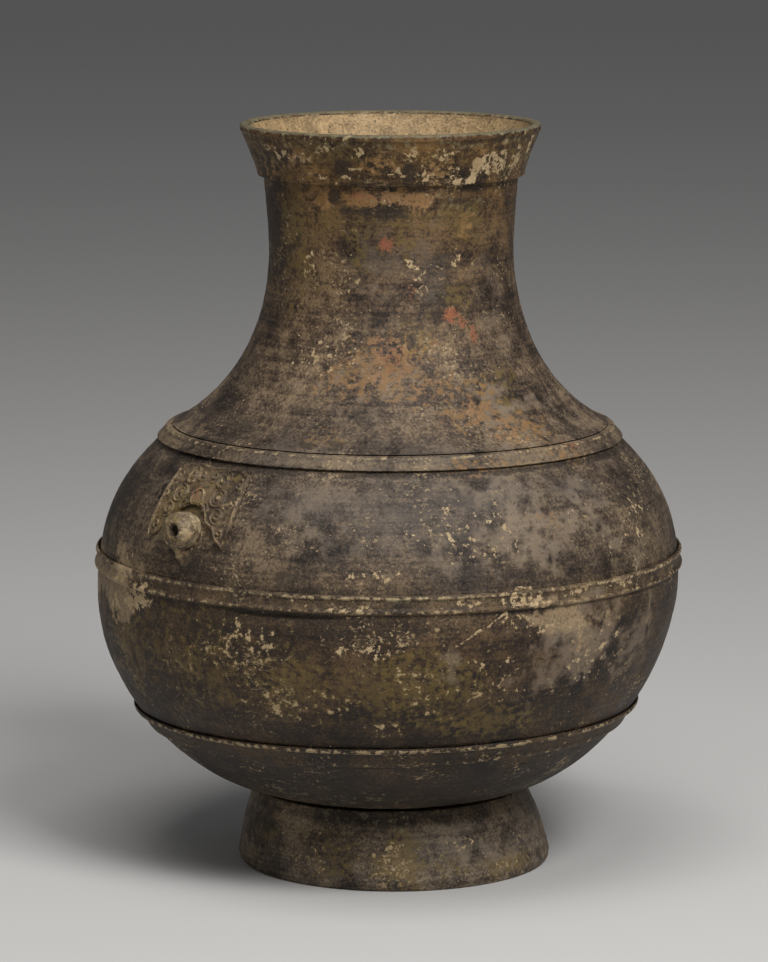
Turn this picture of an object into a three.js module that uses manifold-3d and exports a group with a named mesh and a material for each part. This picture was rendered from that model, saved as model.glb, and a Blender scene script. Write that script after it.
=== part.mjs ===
// Hu jar: a large wheel-thrown pottery storage jar, joined from thrown sections, with bands over the
// joints, a collar at the mouth, a splayed foot ring, and two animal masks with pierced nose bosses.
// Millimetres, +Z up. The origin is on the ground below the middle of the belly; the front is -Y.

import * as THREE from "three";
import { mergeVertices } from "three/addons/utils/BufferGeometryUtils.js";
import Module from "manifold-3d";

const wasm = await Module();
wasm.setup();

// Driving heights above the ground
const jarHeight = 450;
const footHeight = 47;
const lowerBandHeight = 94;
const bellyHeight = 174;
const bellyBandHeight = 189;
const shoulderHeight = 262;
const collarDepth = 30;
const neckWaistDrop = 44;

// Driving radii of the outer surface
const footRadius = 95.6;
const footJoinRadius = 80;
const bellyRadius = 176.8;
const shoulderRadius = 137.4;
const neckBaseRadius = 147;
const neckWaistRadius = 74.1;
const neckTopRadius = 77.2;
const mouthRadius = 90.8;

// Walls
const bodyWall = 8.5;
const neckWall = 7.8;
const footWall = 9;
const lipWall = 6;
const floorWall = 10;
const floorSag = 6.5;

// Bands, masks and bosses
const bellyBandWidth = 12;
const lowerBandWidth = 13.5;
const bandProud = 2.2;
const shoulderBandWidth = 8.3;
const maskAzimuth = -44.8;
const maskTopHeight = 257.5;
const maskHalfWidth = 31.5;
const maskTipDrop = 42.7;
const maskThickness = 3;
const bossRadius = 11.6;
const bossProud = 13;
const bossHeight = 222.5;
const bossTilt = 8;
const bossHoleRadius = 3.2;
const bossHoleDepth = 9.5;

// The wheel's hand: how far the fired body leans, by height, and how far its lower half slumps
const footLean = 3.9;
const lowerBodyLean = -1.9;
const neckLean = 1.8;
const mouthLean = 0.9;
const slumpSlope = 0.0094;

const joinGap = 0.3;
const ringSides = 40;
const collarHeight = jarHeight - collarDepth;
const waistHeight = collarHeight - neckWaistDrop;

// A stretch of the outline: a Bezier curve whose two handles are shares of its radial and upright span
function outlineSpan(from, to, startPull, endPull, steps) {
  const span = new THREE.Vector2().subVectors(to, from);
  const startHandle = from.clone().add(span.clone().multiply(startPull));
  const endHandle = to.clone().sub(span.clone().multiply(endPull));
  return new THREE.CubicBezierCurve(from, startHandle, endHandle, to).getPoints(steps);
}

function v2(radius, height) {
  return new THREE.Vector2(radius, height);
}

const footJoin = v2(footJoinRadius, footHeight);
const belly = v2(bellyRadius, bellyHeight);
const shoulder = v2(shoulderRadius, shoulderHeight);
const neckBase = v2(neckBaseRadius, shoulderHeight);
const neckWaist = v2(neckWaistRadius, waistHeight);
const neckTop = v2(neckTopRadius, collarHeight);

const bodyOutline = [
  ...outlineSpan(footJoin, belly, v2(0.475, 0.063), v2(0, 0.486), 9),
  ...outlineSpan(belly, shoulder, v2(0, 0.53), v2(0.52, 0.216), 7).slice(1),
];
const neckOutline = [
  ...outlineSpan(neckBase, neckWaist, v2(0.733, 0.182), v2(0, 0.404), 9),
  ...outlineSpan(neckWaist, neckTop, v2(0, 0.21), v2(0.4, 0.23), 3).slice(1),
];

// The point of an outline at a height, moved out along the surface normal
function outlinePoint(outline, height, proud = 0) {
  const last = outline.length - 2;
  const found = outline.findIndex((point, i) => i < last && outline[i + 1].y > height);
  const low = outline[found < 0 ? last : found];
  const high = outline[(found < 0 ? last : found) + 1];
  const along = new THREE.Vector2().subVectors(high, low);
  const point = low.clone().addScaledVector(along, (height - low.y) / along.y);
  const normal = v2(along.y, -along.x).normalize();
  return point.addScaledVector(normal, proud);
}

// The outline between two heights, with both ends, moved out along its normals
function outlineBetween(outline, low, high, proud = 0) {
  const inner = outline.filter((point) => point.y > low + 1 && point.y < high - 1);
  return [low, ...inner.map((point) => point.y), high].map((height) => outlinePoint(outline, height, proud));
}

// The inner surface between two heights: the outline moved in by the wall, cut level at both ends
function innerBetween(outline, low, high, wall) {
  const moved = outline.map((point) => outlinePoint(outline, point.y, -wall));
  const radiusAt = (height) => outlinePoint(moved, height).x;
  const kept = moved.filter((point) => point.y > low + 1 && point.y < high - 1);
  return [v2(radiusAt(low), low), ...kept, v2(radiusAt(high), high)];
}

// A smooth curve through [height, value] stations
function valueAt(stations, height) {
  const points = stations.map(([z, value]) => v2(z, value));
  const last = points.length - 2;
  const at = THREE.MathUtils.clamp(points.findIndex((point) => point.x > height) - 1, 0, last);
  const i = height >= points[last].x ? last : at;
  const slope = (j) => {
    const before = points[Math.max(j - 1, 0)];
    const after = points[Math.min(j + 1, points.length - 1)];
    return (after.y - before.y) / (after.x - before.x);
  };
  const width = points[i + 1].x - points[i].x;
  const t = THREE.MathUtils.clamp((height - points[i].x) / width, 0, 1);
  const rise = points[i].y * (1 + 2 * t) * (1 - t) ** 2 + points[i + 1].y * t * t * (3 - 2 * t);
  return rise + width * (slope(i) * t * (1 - t) ** 2 - slope(i + 1) * t * t * (1 - t));
}

const leanStations = [
  [0, footLean],
  [footHeight, 0.4],
  [lowerBandHeight, lowerBodyLean * 0.85],
  [bellyBandHeight - 49, lowerBodyLean],
  [bellyBandHeight, 0],
  [shoulderHeight, 0.9],
  [waistHeight - 26, neckLean],
  [collarHeight, 1.4],
  [jarHeight, mouthLean],
];

// Leans and slumps a finished piece as the fired jar does; the foot, the mouth and the belly stay level
function settle(geometry) {
  const position = geometry.attributes.position;
  for (let i = 0; i < position.count; i += 1) {
    const [x, z] = [position.getX(i), position.getZ(i)];
    const share = THREE.MathUtils.clamp(z / bellyBandHeight, 0, 1);
    position.setX(i, x + valueAt(leanStations, z));
    position.setZ(i, z + slumpSlope * x * Math.sin(Math.PI * share) ** 2);
  }
  return geometry;
}

// Leaves only merged positions, and faces that have an area and point out of the solid
function cleanSolid(geometry) {
  geometry.deleteAttribute("normal");
  geometry.deleteAttribute("uv");
  const merged = mergeVertices(geometry, 1e-4);
  const faces = [];
  const corners = merged.index.array;
  let volume = 0;
  const [a, b, c] = [new THREE.Vector3(), new THREE.Vector3(), new THREE.Vector3()];
  for (let i = 0; i < corners.length; i += 3) {
    const [ia, ib, ic] = [corners[i], corners[i + 1], corners[i + 2]];
    if (ia === ib || ib === ic || ic === ia) continue;
    [a, b, c].forEach((corner, k) => corner.fromBufferAttribute(merged.attributes.position, [ia, ib, ic][k]));
    volume += a.dot(b.cross(c));
    faces.push([ia, ib, ic]);
  }
  merged.setIndex((volume < 0 ? faces.map((face) => face.reverse()) : faces).flat());
  return merged;
}

// A solid of revolution about Z, from a profile that closes on itself or runs from axis to axis
function turned(profile, sides = ringSides) {
  const closed = profile[0].x < 1e-6 ? profile : [...profile, profile[0].clone()];
  return cleanSolid(new THREE.LatheGeometry(closed, sides).rotateX(Math.PI / 2));
}

function toManifold(geometry) {
  const mesh = new wasm.Mesh({
    numProp: 3,
    vertProperties: new Float32Array(geometry.attributes.position.array),
    triVerts: new Uint32Array(geometry.index.array),
  });
  return new wasm.Manifold(mesh);
}

function fromManifold(solid) {
  const { vertProperties, triVerts } = solid.getMesh();
  const geometry = new THREE.BufferGeometry();
  geometry.setAttribute("position", new THREE.BufferAttribute(new Float32Array(vertProperties), 3));
  geometry.setIndex(Array.from(triVerts));
  return geometry;
}

const clay = new THREE.MeshStandardMaterial({ color: "#5b4f47", roughness: 0.72, metalness: 0 });
const bandClay = new THREE.MeshStandardMaterial({ color: "#77695a", roughness: 0.68, metalness: 0 });
const maskClay = new THREE.MeshStandardMaterial({ color: "#6d6358", roughness: 0.75, metalness: 0 });
const bossClay = new THREE.MeshStandardMaterial({ color: "#8f877b", roughness: 0.8, metalness: 0 });

const jar = new THREE.Group();

function addPiece(name, geometry, material) {
  const mesh = new THREE.Mesh(settle(geometry), material);
  mesh.name = name;
  jar.add(mesh);
}

// Foot ring: a hollow splayed ring, rounded where it stands, luted to the flat seat below the bowl
function footRing() {
  const top = footHeight - joinGap;
  const level = (share) => top * share;
  return turned([
    v2(footRadius - 2.8, 0),
    v2(footRadius - 0.8, 1.2),
    v2(footRadius, 5),
    v2(footRadius - 2, level(0.3)),
    v2(footRadius - 5.2, level(0.58)),
    v2(footRadius - 9.2, level(0.82)),
    v2(footJoinRadius + 2.4, top),
    v2(footJoinRadius - footWall, top),
    v2(footRadius - 13.5 - footWall, level(0.5)),
    v2(footRadius - 2.4 - footWall, 3),
    v2(footRadius - footWall, 0.6),
    v2(footRadius - footWall + 1, 0),
  ]);
}

// Lower bowl: the floor and the first thrown section, up to the joint under the lower band
function lowerBowl() {
  const top = lowerBandHeight - joinGap / 2;
  const floorTop = footHeight - floorSag + floorWall;
  const inner = innerBetween(bodyOutline, floorTop + 8, top, bodyWall);
  return turned([
    v2(0, footHeight - floorSag),
    v2((footJoinRadius - footWall) * 0.5, footHeight - floorSag * 0.8),
    v2(footJoinRadius - footWall - 1.4, footHeight - 1.2),
    v2(footJoinRadius - footWall - 0.6, footHeight),
    ...outlineBetween(bodyOutline, footHeight, top),
    ...inner.reverse(),
    v2(inner.at(-1).x * 0.55, floorTop + 2.4),
    v2(0, floorTop),
  ]);
}

// A thrown section of the wall between two joints
function wallSection(low, high) {
  const [bottom, top] = [low + joinGap / 2, high - joinGap / 2];
  const inner = innerBetween(bodyOutline, bottom, top, bodyWall);
  return turned([...outlineBetween(bodyOutline, bottom, top), ...inner.reverse()]);
}

const bandTop = shoulderHeight + shoulderBandWidth - 1.6;
const bandSeatRadius = outlinePoint(neckOutline, bandTop).x - 1.7;

// Shoulder and neck in one section, with a seat cut for the shoulder band and a straight end for the collar
function shoulderAndNeck() {
  const bottom = shoulderHeight + joinGap;
  const skirtTop = collarHeight - 2;
  const shoulderWall = outlinePoint(bodyOutline, shoulderHeight - 1, -bodyWall);
  return turned([
    v2(shoulderRadius - 3, bottom),
    v2(bandSeatRadius, bandTop + joinGap),
    ...outlineBetween(neckOutline, bandTop + joinGap, skirtTop),
    v2(neckTopRadius, collarHeight + 1.8),
    v2(neckTopRadius - neckWall, collarHeight + 1.8),
    ...innerBetween(neckOutline, bandTop + 6, skirtTop, neckWall).reverse(),
    v2(shoulderWall.x, bottom),
  ]);
}

// Mouth collar: rebated over the neck's end, flaring to the lip with a bevelled bead
function mouthCollar() {
  const seat = collarHeight + 1.8 + joinGap;
  const skirtBottom = collarHeight - 1.6;
  const skirtBore = neckTopRadius + joinGap + 0.2;
  const rise = (share) => skirtBottom + (jarHeight - skirtBottom) * share;
  const flare = (share) => skirtBore + 2.8 + (mouthRadius - skirtBore - 2.8) * share;
  return turned([
    v2(skirtBore, skirtBottom),
    v2(flare(0), skirtBottom + 0.4),
    v2(flare(0.12), rise(0.12)),
    v2(flare(0.42), rise(0.38)),
    v2(flare(0.74), rise(0.68)),
    v2(flare(0.94), rise(0.85)),
    v2(mouthRadius, jarHeight - 2.6),
    v2(mouthRadius - 0.3, jarHeight - 0.8),
    v2(mouthRadius - 1.2, jarHeight),
    v2(mouthRadius - lipWall + 0.8, jarHeight),
    v2(mouthRadius - lipWall - 0.2, jarHeight - 0.8),
    v2(mouthRadius - lipWall - 2.4, rise(0.78)),
    v2(mouthRadius - lipWall - 6.4, rise(0.5)),
    v2(neckTopRadius - neckWall + 2.6, seat + 3),
    v2(neckTopRadius - neckWall, seat),
    v2(skirtBore, seat),
  ]);
}

// Shoulder band: a ridge above a slanted face, whose sharp lower edge laps over the wall below
function shoulderBand() {
  const lip = shoulderHeight - 1.5;
  const foot = outlinePoint(bodyOutline, lip, joinGap);
  const edge = foot.x + 1.9;
  return turned([
    foot,
    v2(edge - 0.3, lip + 0.2),
    v2(edge, lip + 1),
    v2(bandSeatRadius + 6, bandTop - 2.6),
    v2(bandSeatRadius + 5.2, bandTop - 1.2),
    v2(bandSeatRadius + 3.9, bandTop - 0.1),
    v2(bandSeatRadius + 0.5, bandTop),
    v2(shoulderRadius - 2.5, shoulderHeight + joinGap * 2),
    v2(shoulderRadius + 0.4, shoulderHeight + joinGap),
  ]);
}

// A band round the body: [share of its width, share of its standing height] from bottom to top
function bodyBand(middle, width, ridges) {
  const low = middle - width / 2;
  const face = ridges.map(([along, stand]) =>
    outlinePoint(bodyOutline, low + width * along, joinGap + bandProud * stand));
  const back = [0, 0.33, 0.67, 1].map((along) => outlinePoint(bodyOutline, low + width * along, joinGap));
  return turned([...face, ...back.reverse()]);
}

const doubleRidge = [[0.01, 0.35], [0.1, 0.85], [0.24, 0.9], [0.36, 0.45], [0.64, 0.45], [0.76, 1], [0.9, 0.9], [0.99, 0.35]];
const singleRidge = [[0.01, 0.3], [0.08, 0.6], [0.22, 0.55], [0.32, 0.35], [0.68, 0.4], [0.8, 0.95], [0.92, 1], [0.99, 0.4]];

// Mask outline, as heights below the mask's top at shares of its half width
const maskHorn = [[0, 0.8], [0.35, 0.2], [0.75, 0.8], [1, 3.5]];
const maskJaw = [[0, 27.5], [0.31, 28.8], [0.62, 33.5], [0.74, 39.3], [0.905, maskTipDrop], [1, 31]];

// Animal mask: a thin modelled plate on the wall, wide at the horns, with a tip at each cheek
function animalMask(azimuth) {
  const [columns, rows] = [32, 9];
  const notchRadius = bossRadius + bossProud * Math.sin(THREE.MathUtils.degToRad(bossTilt)) + joinGap * 2;
  const wallRadius = outlinePoint(bodyOutline, (maskTopHeight + bossHeight) / 2).x;
  const place = (across, height, stand) => {
    const point = outlinePoint(bodyOutline, height, stand);
    const angle = THREE.MathUtils.degToRad(azimuth - 90) + across / wallRadius;
    return [point.x * Math.cos(angle), point.x * Math.sin(angle), point.y];
  };
  const corners = [];
  for (let side = 0; side < 2; side += 1) {
    for (let i = 0; i <= columns; i += 1) {
      const across = maskHalfWidth * ((2 * i) / columns - 1);
      const share = Math.abs(across) / maskHalfWidth;
      const top = maskTopHeight - valueAt(maskHorn, share);
      const notch = bossHeight + Math.sqrt(Math.max(0, notchRadius ** 2 - across ** 2));
      const bottom = Math.max(maskTopHeight - valueAt(maskJaw, share), Math.abs(across) < notchRadius ? notch : 0);
      for (let j = 0; j <= rows; j += 1) {
        const up = j / rows;
        const height = bottom + (top - bottom) * up;
        const brow = Math.exp(-(((share - 0.5) / 0.3) ** 2) - ((height - top + 9) / 6) ** 2);
        const eye = Math.exp(-(((Math.abs(across) - 14) / 5) ** 2) - ((height - top + 24) / 5) ** 2);
        const edge = 1 - Math.sin(Math.PI * up) ** 0.5;
        const stand = maskThickness * (0.6 + 0.35 * brow + 0.4 * eye - 0.25 * edge);
        corners.push(...place(across, height, joinGap * 2 + (side === 0 ? 0 : stand)));
      }
    }
  }
  const sheet = (columns + 1) * (rows + 1);
  const at = (side, i, j) => side * sheet + i * (rows + 1) + j;
  const faces = [];
  const quad = (a, b, c, d) => faces.push(a, b, c, a, c, d);
  for (let i = 0; i < columns; i += 1) {
    for (let j = 0; j < rows; j += 1) {
      quad(at(1, i, j), at(1, i + 1, j), at(1, i + 1, j + 1), at(1, i, j + 1));
      quad(at(0, i, j), at(0, i, j + 1), at(0, i + 1, j + 1), at(0, i + 1, j));
    }
    quad(at(0, i, 0), at(0, i + 1, 0), at(1, i + 1, 0), at(1, i, 0));
    quad(at(1, i, rows), at(1, i + 1, rows), at(0, i + 1, rows), at(0, i, rows));
  }
  for (let j = 0; j < rows; j += 1) {
    quad(at(0, 0, j), at(1, 0, j), at(1, 0, j + 1), at(0, 0, j + 1));
    quad(at(1, columns, j), at(0, columns, j), at(0, columns, j + 1), at(1, columns, j + 1));
  }
  const geometry = new THREE.BufferGeometry();
  geometry.setAttribute("position", new THREE.Float32BufferAttribute(corners, 3));
  geometry.setIndex(faces);
  return cleanSolid(geometry);
}

// Nose boss: a round knob with a blind hole that held a ring, its back cut to the wall it is luted to
function noseBoss(azimuth) {
  const root = -8;
  const face = v2(bossHoleRadius + 1.3, bossProud);
  const knob = turned([
    v2(0, root),
    v2(bossRadius - 0.6, root),
    v2(bossRadius, bossProud * 0.2),
    v2(bossRadius, bossProud * 0.55),
    v2(bossRadius - 1.6, bossProud * 0.82),
    v2(bossRadius - 4.4, bossProud - 0.2),
    face,
    v2(bossHoleRadius, bossProud - 1.6),
    v2(bossHoleRadius - 0.2, bossProud - bossHoleDepth + 0.6),
    v2(0, bossProud - bossHoleDepth),
  ], 20);
  const wall = outlinePoint(bodyOutline, bossHeight);
  knob.rotateY(Math.PI / 2 - THREE.MathUtils.degToRad(bossTilt));
  knob.translate(wall.x, 0, bossHeight);
  knob.rotateZ(THREE.MathUtils.degToRad(azimuth - 90));
  const low = bossHeight - bossRadius * 2;
  const high = bossHeight + bossRadius * 2;
  const envelope = turned([
    v2(0, low),
    ...outlineBetween(bodyOutline, low, high, joinGap),
    v2(0, high),
  ], 120);
  return fromManifold(toManifold(knob).subtract(toManifold(envelope)));
}

addPiece("foot_ring", footRing(), clay);
addPiece("lower_bowl", lowerBowl(), clay);
addPiece("lower_belly", wallSection(lowerBandHeight, bellyBandHeight), clay);
addPiece("upper_belly", wallSection(bellyBandHeight, shoulderHeight + joinGap / 2), clay);
addPiece("shoulder_neck", shoulderAndNeck(), clay);
addPiece("mouth_collar", mouthCollar(), clay);
addPiece("shoulder_band", shoulderBand(), bandClay);
addPiece("belly_band", bodyBand(bellyBandHeight, bellyBandWidth, doubleRidge), bandClay);
addPiece("lower_band", bodyBand(lowerBandHeight, lowerBandWidth, singleRidge), bandClay);
addPiece("mask_front_left", animalMask(maskAzimuth), maskClay);
addPiece("mask_back_right", animalMask(maskAzimuth + 180), maskClay);
addPiece("nose_boss_front_left", noseBoss(maskAzimuth), bossClay);
addPiece("nose_boss_back_right", noseBoss(maskAzimuth + 180), bossClay);

export default jar;
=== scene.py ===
"""The looks of a hu jar: weathered brown pottery with flaked slip, worn bands and animal masks."""

import math

import bpy
import numpy as np
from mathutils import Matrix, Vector


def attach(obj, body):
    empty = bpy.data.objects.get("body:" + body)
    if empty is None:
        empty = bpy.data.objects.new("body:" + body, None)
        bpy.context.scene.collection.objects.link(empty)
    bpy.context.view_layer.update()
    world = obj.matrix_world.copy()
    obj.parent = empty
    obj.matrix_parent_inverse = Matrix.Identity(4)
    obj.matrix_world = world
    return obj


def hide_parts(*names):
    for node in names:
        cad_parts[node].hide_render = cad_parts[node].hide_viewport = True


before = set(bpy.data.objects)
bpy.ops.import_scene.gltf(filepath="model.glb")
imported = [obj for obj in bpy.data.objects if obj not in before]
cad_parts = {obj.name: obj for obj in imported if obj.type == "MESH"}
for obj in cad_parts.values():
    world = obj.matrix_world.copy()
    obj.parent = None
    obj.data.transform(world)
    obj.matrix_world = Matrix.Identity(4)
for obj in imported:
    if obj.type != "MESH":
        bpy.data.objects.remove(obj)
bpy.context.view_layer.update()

MM = 0.001

# Heights and radii of the thrown wall, in millimetres, as the frame's solids have them
FOOT_TOP, LOWER_BAND, BELLY, BELLY_BAND, SHOULDER, WAIST, COLLAR, MOUTH = 47, 94, 174, 189, 262, 376, 420, 450
FOOT_RADIUS, FOOT_JOIN, BELLY_RADIUS, SHOULDER_RADIUS = 95.6, 80, 176.8, 137.4
NECK_BASE, WAIST_RADIUS, NECK_TOP, MOUTH_RADIUS = 147, 74.1, 77.2, 90.8
BODY_WALL, NECK_WALL, LIP_WALL, FOOT_WALL = 8.5, 7.8, 6, 9
JOIN_GAP = 0.3

# Sides of a thrown piece, and the steps up its outer and inner face in millimetres
SIDES = 480
FINE, COARSE = 1.6, 5.0

# How far the fired jar leans to the right at each height, and the slump of its lower half
LEAN_HEIGHTS = [0, 47, 94, 140, 189, 262, 350, 420, 450]
LEAN = [3.9, 0.4, -1.6, -1.9, 0, 0.9, 1.8, 1.4, 0.9]
SLUMP = 0.0094

# Azimuth and tilt in degrees, the rest in millimetres
MASK_AZIMUTH, MASK_TOP, MASK_HALF_WIDTH = -44.8, 257.5, 31.5
BOSS_HEIGHT, BOSS_RADIUS, BOSS_PROUD, BOSS_TILT = 222.5, 11.6, 13, 8


def linear(hex_colour):
    """An sRGB hex colour as linear RGBA."""
    parts = [int(hex_colour[i:i + 2], 16) / 255 for i in (1, 3, 5)]
    return [c / 12.92 if c <= 0.04045 else ((c + 0.055) / 1.055) ** 2.4 for c in parts] + [1.0]


def add(tree, kind, inputs=None, **settings):
    """Adds a node, sets its settings, and links or sets its inputs."""
    node = tree.nodes.new(kind)
    for name, value in settings.items():
        setattr(node, name, value)
    for key, value in (inputs or {}).items():
        if isinstance(value, bpy.types.NodeSocket):
            tree.links.new(value, node.inputs[key])
        else:
            node.inputs[key].default_value = value
    return node


def calculate(tree, operation, *values):
    """A maths node on up to three numbers or sockets."""
    return add(tree, "ShaderNodeMath", dict(enumerate(values)), operation=operation).outputs[0]


def stretch(tree, value, low, high, bottom=0.0, top=1.0, kind="LINEAR"):
    """Maps low to bottom and high to top, and holds the value there beyond them."""
    given = {"Value": value, "From Min": low, "From Max": high, "To Min": bottom, "To Max": top}
    return add(tree, "ShaderNodeMapRange", given, interpolation_type=kind).outputs[0]


def clouds(tree, place, scale, detail, roughness=0.5):
    """Noise with so many features to the metre."""
    given = {"Vector": place, "Scale": scale, "Detail": detail, "Roughness": roughness}
    return add(tree, "ShaderNodeTexNoise", given).outputs["Fac"]


def mix(tree, share, first, second, **settings):
    """The first colour, with a share of the second over it."""
    given = {0: share, 6: first, 7: second}
    return add(tree, "ShaderNodeMix", given, data_type="RGBA", **settings).outputs[2]


def colour_ramp(tree, value, stops):
    """A ramp through (position, hex colour) stops."""
    ramp = add(tree, "ShaderNodeValToRGB", {"Fac": value})
    elements = ramp.color_ramp.elements
    for element, (position, tint) in zip(elements, (stops[0], stops[-1])):
        element.position = position
        element.color = linear(tint)
    for position, tint in stops[1:-1]:
        elements.new(position).color = linear(tint)
    return ramp.outputs["Color"]


# Outlines

def span(start, end, start_pull, end_pull, count=60):
    """One Bezier stretch of the outline; its handles are shares of its radial and upright span."""
    start, end = np.array(start, float), np.array(end, float)
    reach = end - start
    first, second = start + reach * start_pull, end - reach * end_pull
    t = np.linspace(0, 1, count)[:, None]
    return (1 - t) ** 3 * start + 3 * t * (1 - t) ** 2 * first + 3 * t * t * (1 - t) * second + t ** 3 * end


BODY = np.concatenate([
    span((FOOT_JOIN, FOOT_TOP), (BELLY_RADIUS, BELLY), (0.475, 0.063), (0, 0.486)),
    span((BELLY_RADIUS, BELLY), (SHOULDER_RADIUS, SHOULDER), (0, 0.53), (0.52, 0.216))[1:],
])
NECK = np.concatenate([
    span((NECK_BASE, SHOULDER), (WAIST_RADIUS, WAIST), (0.733, 0.182), (0, 0.404)),
    span((WAIST_RADIUS, WAIST), (NECK_TOP, COLLAR), (0, 0.21), (0.4, 0.23))[1:],
])


def on_outline(outline, heights, proud=0.0):
    """Points of an outline at some heights, moved out along its normals."""
    heights = np.atleast_1d(np.asarray(heights, float))
    radius = np.interp(heights, outline[:, 1], outline[:, 0])
    slope = np.interp(heights, outline[:, 1], np.gradient(outline[:, 0], outline[:, 1]))
    length = np.sqrt(1 + slope ** 2)
    return np.stack([radius + proud / length, heights - proud * slope / length], axis=-1)


def steps(low, high, step):
    return np.linspace(low, high, max(2, int(abs(high - low) / step) + 1))


def inner_face(outline, high, low, wall):
    moved = on_outline(outline, outline[:, 1], -wall)
    heights = steps(high, low, COARSE)
    return np.stack([np.interp(heights, moved[:, 1], moved[:, 0]), heights], axis=-1)


def densify(points, step):
    """A closed outline with short straight steps between its points."""
    points = np.array(points, float)
    following = np.roll(points, -1, axis=0)
    rows = [a + (b - a) * t for a, b in zip(points, following)
            for t in np.arange(0, 1, min(1, step / max(np.linalg.norm(b - a), step)))]
    return np.array(rows)


def soften(points):
    """Rounds the corners of a closed outline by cutting them."""
    following = np.roll(points, -1, axis=0)
    cuts = [points * 0.75 + following * 0.25, points * 0.25 + following * 0.75]
    return np.stack(cuts, axis=1).reshape(-1, 2)


def thrown_wall(outline, low, high, wall):
    return np.concatenate([on_outline(outline, steps(low, high, FINE)), inner_face(outline, high, low, wall)])


def foot_profile():
    top = FOOT_TOP - JOIN_GAP
    points = [
        (FOOT_RADIUS - 2.8, 0), (FOOT_RADIUS - 0.8, 1.2), (FOOT_RADIUS, 5), (FOOT_RADIUS - 2, top * 0.3),
        (FOOT_RADIUS - 5.2, top * 0.58), (FOOT_RADIUS - 9.2, top * 0.82), (FOOT_JOIN + 2.4, top),
        (FOOT_JOIN - FOOT_WALL, top), (FOOT_RADIUS - 13.5 - FOOT_WALL, top / 2),
        (FOOT_RADIUS - 2.4 - FOOT_WALL, 3), (FOOT_RADIUS - FOOT_WALL, 0.6), (FOOT_RADIUS - FOOT_WALL + 1, 0),
    ]
    return soften(densify(points, 2.6))


def bowl_profile():
    top = LOWER_BAND - JOIN_GAP / 2
    floor_radius = FOOT_JOIN - FOOT_WALL
    under = [
        (0, 40.5), (floor_radius * 0.5, 41.8),
        (floor_radius - 1.4, 45.8), (floor_radius - 0.6, FOOT_TOP),
    ]
    wall = thrown_wall(BODY, FOOT_TOP, top, BODY_WALL)
    is_outer = np.arange(len(wall)) < len(steps(FOOT_TOP, top, FINE))
    wall = wall[(wall[:, 1] >= FOOT_TOP + 11.5) | is_outer]
    floor = [(wall[-1, 0] * 0.55, 52.9), (0, 50.5)]
    return np.concatenate([under, wall, floor])


def shoulder_neck_profile():
    outer = on_outline(NECK, steps(SHOULDER + 7, COLLAR - 2, FINE))
    inner = inner_face(NECK, COLLAR - 2, SHOULDER + 12.7, NECK_WALL)
    end = [(NECK_TOP, COLLAR + 1.8), (NECK_TOP - NECK_WALL, COLLAR + 1.8)]
    base = on_outline(BODY, SHOULDER - 1, -BODY_WALL)[0, 0]
    seat = [
        (base, SHOULDER + JOIN_GAP), (SHOULDER_RADIUS - 3, SHOULDER + JOIN_GAP),
        (outer[0, 0] - 1.7, SHOULDER + 7),
    ]
    return np.concatenate([outer, end, inner, seat])


def collar_profile():
    seat, skirt, bore = COLLAR + 1.8 + JOIN_GAP, COLLAR - 1.6, NECK_TOP + 0.5
    face = span((bore + 2.8, skirt + 0.4), (MOUTH_RADIUS - 0.7, MOUTH - 4.6), (0.2, 0.35), (0.3, 0.3), 20)
    lip = [(MOUTH_RADIUS, MOUTH - 4.0), (MOUTH_RADIUS, MOUTH - 2.4), (MOUTH_RADIUS - 0.4, MOUTH - 0.9),
           (MOUTH_RADIUS - 1.4, MOUTH), (MOUTH_RADIUS - LIP_WALL + 1, MOUTH)]
    rim = (MOUTH_RADIUS - LIP_WALL - 0.2, MOUTH - 1)
    inside = span(rim, (NECK_TOP - NECK_WALL, seat), (0.3, 0.25), (0.1, 0.3), 14)
    return soften(np.concatenate([[(bore, skirt)], face, lip, inside, [(bore, seat)]]))


def shoulder_band_profile():
    low, top = SHOULDER - 1.5, SHOULDER + 6.7
    seat = on_outline(NECK, top)[0, 0] - 1.7
    foot = on_outline(BODY, low, JOIN_GAP)[0]
    points = [foot, (foot[0] + 1.6, low + 0.2), (foot[0] + 1.9, low + 1), (seat + 6, top - 2.6),
              (seat + 5.2, top - 1.2), (seat + 3.9, top - 0.1), (seat + 0.5, top),
              (SHOULDER_RADIUS - 2.5, SHOULDER + 0.6), (SHOULDER_RADIUS + 0.4, SHOULDER + 0.3)]
    return soften(densify(points, 1.2))


def body_band_profile(middle, width, ridges):
    """A band luted on the wall: its ridges are (share of the width, how far it stands proud)."""
    shares, proud = np.array(ridges).T
    along = np.linspace(shares[0], shares[-1], 22)
    stand = np.interp(along, shares, proud)
    heights = middle - width / 2 + width * along
    face = np.array([on_outline(BODY, h, JOIN_GAP + p)[0] for h, p in zip(heights, stand)])
    back = on_outline(BODY, steps(middle + width / 2, middle - width / 2, 3), JOIN_GAP)
    return soften(np.concatenate([face, back]))


BELLY_BAND_WIDTH, LOWER_BAND_WIDTH = 12, 13.5
BELLY_RIDGES = [
    (0.01, 0.8), (0.08, 1.8), (0.22, 2.0), (0.34, 0.9),
    (0.66, 0.9), (0.78, 2.2), (0.9, 2.0), (0.99, 0.8),
]
LOWER_RIDGES = [
    (0.01, 0.6), (0.08, 1.3), (0.2, 1.2), (0.32, 0.7),
    (0.7, 0.8), (0.8, 2.1), (0.92, 2.2), (0.99, 0.9),
]


# Meshes

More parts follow.
